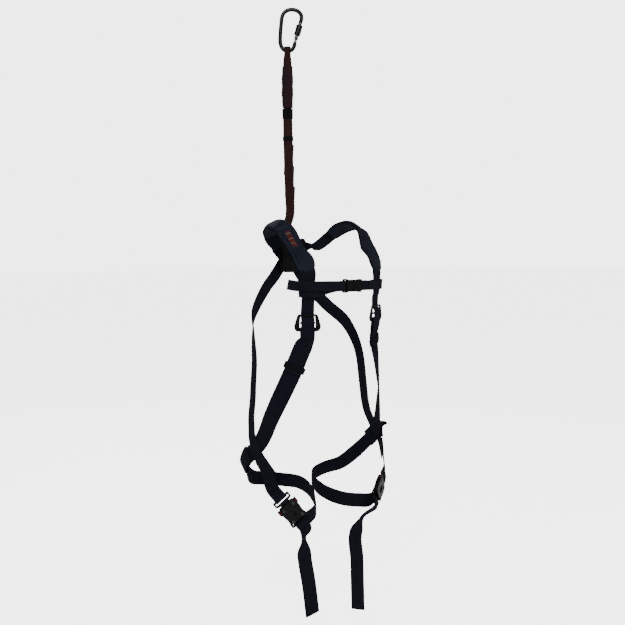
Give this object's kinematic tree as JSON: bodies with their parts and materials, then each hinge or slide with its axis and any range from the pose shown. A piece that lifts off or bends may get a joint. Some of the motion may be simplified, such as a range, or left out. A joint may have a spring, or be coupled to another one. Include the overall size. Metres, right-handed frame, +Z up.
{
  "type": "safety harness vest",
  "caption": "Full-body safety harness vest of dark webbing with padded shoulder straps, buckled chest and leg straps and an overhead shock-absorbing tether with a locking carabiner.",
  "frame": {"origin": "centre of the dorsal plate's flat inner face, between its web slots", "axes": "+Z up along the wearer's body, -Y the way the wearer faces, +X the wearer's left"},
  "size_m": [0.421, 0.2936, 1.5635],
  "materials": {
    "black_metal": "gloss",
    "black_plastic": "satin",
    "bright_metal": "polished",
    "elastic": "ribbed",
    "foam": "open-cell foam, matt",
    "grey_metal": "satin",
    "padding": "woven, matt",
    "tether": "woven",
    "webbing": "woven"
  },
  "bodies": {
    "harness": {"adjuster_frame_left": "black_metal", "adjuster_frame_right": "black_metal", "back_strap_left": "webbing", "back_strap_right": "webbing", "buckle_back_plate_left": "black_metal", "buckle_back_plate_right": "black_metal", "buckle_front_plate_left": "black_metal", "buckle_front_plate_right": "black_metal", "buckle_rivet_left_1": "grey_metal", "buckle_rivet_left_2": "grey_metal", "buckle_rivet_left_3": "grey_metal", "buckle_rivet_left_4": "grey_metal", "buckle_rivet_right_1": "grey_metal", "buckle_rivet_right_2": "grey_metal", "buckle_rivet_right_3": "grey_metal", "buckle_rivet_right_4": "grey_metal", "chest_buckle_socket": "black_plastic", "chest_strap_left": "webbing", "chest_strap_right": "webbing", "dorsal_loop": "webbing", "dorsal_plate": "black_plastic", "leg_loop_left": "webbing", "leg_loop_right": "webbing", "pad_cover_left": "padding", "pad_cover_right": "padding", "pad_foam_left": "foam", "pad_foam_right": "foam", "shoulder_strap_left": "webbing", "shoulder_strap_right": "webbing", "strap_keeper_left": "elastic", "strap_keeper_right": "elastic", "torso_strap_left": "webbing", "torso_strap_right": "webbing"},
    "dorsal_ring": {"dorsal_ring": "black_metal"},
    "tether": {"tether_webbing": "tether", "tether_eye": "tether", "absorber_cover": "tether", "absorber_core": "tether", "absorber_band": "elastic"},
    "carabiner": {"carabiner_body": "black_metal", "gate_pin": "grey_metal"},
    "gate": {"carabiner_gate": "grey_metal", "gate_spring": "bright_metal"},
    "lock_sleeve": {"lock_sleeve": "black_metal"},
    "chest_plug": {"chest_buckle_plug": "black_plastic"},
    "tongue_right": {"buckle_tongue_right": "black_metal", "leg_strap_right": "webbing"},
    "lever_right_upper": {"release_lever_right_upper": "black_plastic"},
    "lever_right_lower": {"release_lever_right_lower": "black_plastic"},
    "adjuster_bar_right": {"adjuster_bar_right": "bright_metal"},
    "leg_tail_right": {"leg_tail_right": "webbing"},
    "side_loop_right": {"side_loop_right": "webbing"},
    "tongue_left": {"buckle_tongue_left": "black_metal", "leg_strap_left": "webbing"},
    "lever_left_upper": {"release_lever_left_upper": "black_plastic"},
    "lever_left_lower": {"release_lever_left_lower": "black_plastic"},
    "adjuster_bar_left": {"adjuster_bar_left": "bright_metal"},
    "leg_tail_left": {"leg_tail_left": "webbing"},
    "side_loop_left": {"side_loop_left": "webbing"}
  },
  "joints": [
    {"name": "ring_swing", "type": "hinge", "parent": "harness", "child": "dorsal_ring", "pos_m": [0, 0.0165, 0.015], "axis": [-1, 0, 0], "range_deg": [0, 60]},
    {"name": "tether_swing", "type": "hinge", "parent": "dorsal_ring", "child": "tether", "pos_m": [0, 0.0165, 0.053], "axis": [1, 0, 0], "range_deg": [-150, 10]},
    {"name": "carabiner_swing", "type": "hinge", "parent": "tether", "child": "carabiner", "pos_m": [0.004, 0.0165, 0.5415], "axis": [0.8192, -0.5736, 0], "range_deg": [-35, 35]},
    {"name": "gate_open", "type": "hinge", "parent": "carabiner", "child": "gate", "pos_m": [0.0204, 0.00502, 0.56384], "axis": [-0.5736, -0.8192, 0], "range_deg": [0, 28], "stiffness_Nm_per_rad": 0.15, "springref_deg": -20},
    {"name": "sleeve_travel", "type": "slide", "parent": "gate", "child": "lock_sleeve", "axis": [-0.2242, 0.157, -0.9618], "range_m": [-0.01, 0.007], "stiffness_N_per_m": 300},
    {"name": "plug_travel", "type": "slide", "parent": "harness", "child": "chest_plug", "axis": [1, 0, 0], "range_m": [0, 0.02]},
    {"name": "tongue_right_travel", "type": "slide", "parent": "harness", "child": "tongue_right", "axis": [-0.6113, 0.1986, 0.766], "range_m": [0, 0.02]},
    {"name": "lever_right_upper_turn", "type": "hinge", "parent": "harness", "child": "lever_right_upper", "pos_m": [-0.1057, -0.2112, -0.62153], "axis": [0.309, 0.9511, 0], "range_deg": [0, 4], "stiffness_Nm_per_rad": 0.3},
    {"name": "lever_right_lower_turn", "type": "hinge", "parent": "harness", "child": "lever_right_lower", "pos_m": [-0.12755, -0.2041, -0.64081], "axis": [-0.309, -0.9511, 0], "range_deg": [0, 4], "stiffness_Nm_per_rad": 0.3},
    {"name": "adjuster_bar_right_travel", "type": "slide", "parent": "harness", "child": "adjuster_bar_right", "axis": [-0.0267, -0.0578, 0.998], "range_m": [-0.003, 0.003], "stiffness_N_per_m": 200},
    {"name": "leg_tail_right_swing", "type": "hinge", "parent": "harness", "child": "leg_tail_right", "pos_m": [-0.10832, -0.21434, -0.64304], "axis": [-0.9511, 0.309, 0], "range_deg": [0, 26]},
    {"name": "side_loop_right_lift", "type": "hinge", "parent": "harness", "child": "side_loop_right", "pos_m": [-0.19197, -0.10566, -0.48232], "axis": [0.0825, 0.826, 0.5575], "range_deg": [0, 30]},
    {"name": "tongue_left_travel", "type": "slide", "parent": "harness", "child": "tongue_left", "axis": [0.687, 0.4461, 0.5736], "range_m": [0, 0.005]},
    {"name": "lever_left_upper_turn", "type": "hinge", "parent": "harness", "child": "lever_left_upper", "pos_m": [0.14374, -0.19738, -0.6279], "axis": [-0.5446, 0.8387, 0], "range_deg": [0, 4], "stiffness_Nm_per_rad": 0.3},
    {"name": "lever_left_lower_turn", "type": "hinge", "parent": "harness", "child": "lever_left_lower", "pos_m": [0.12931, -0.20675, -0.60332], "axis": [0.5446, -0.8387, 0], "range_deg": [0, 4], "stiffness_Nm_per_rad": 0.3},
    {"name": "adjuster_bar_left_travel", "type": "slide", "parent": "harness", "child": "adjuster_bar_left", "axis": [0.0257, -0.0572, 0.998], "range_m": [-0.003, 0.003], "stiffness_N_per_m": 200},
    {"name": "leg_tail_left_swing", "type": "hinge", "parent": "harness", "child": "leg_tail_left", "pos_m": [0.12795, -0.21217, -0.6245], "axis": [-0.8387, -0.5446, 0], "range_deg": [0, 26]},
    {"name": "side_loop_left_lift", "type": "hinge", "parent": "harness", "child": "side_loop_left", "pos_m": [0.19549, -0.13216, -0.48138], "axis": [0.1491, 0.9584, -0.2433], "range_deg": [0, 45]}
  ]
}
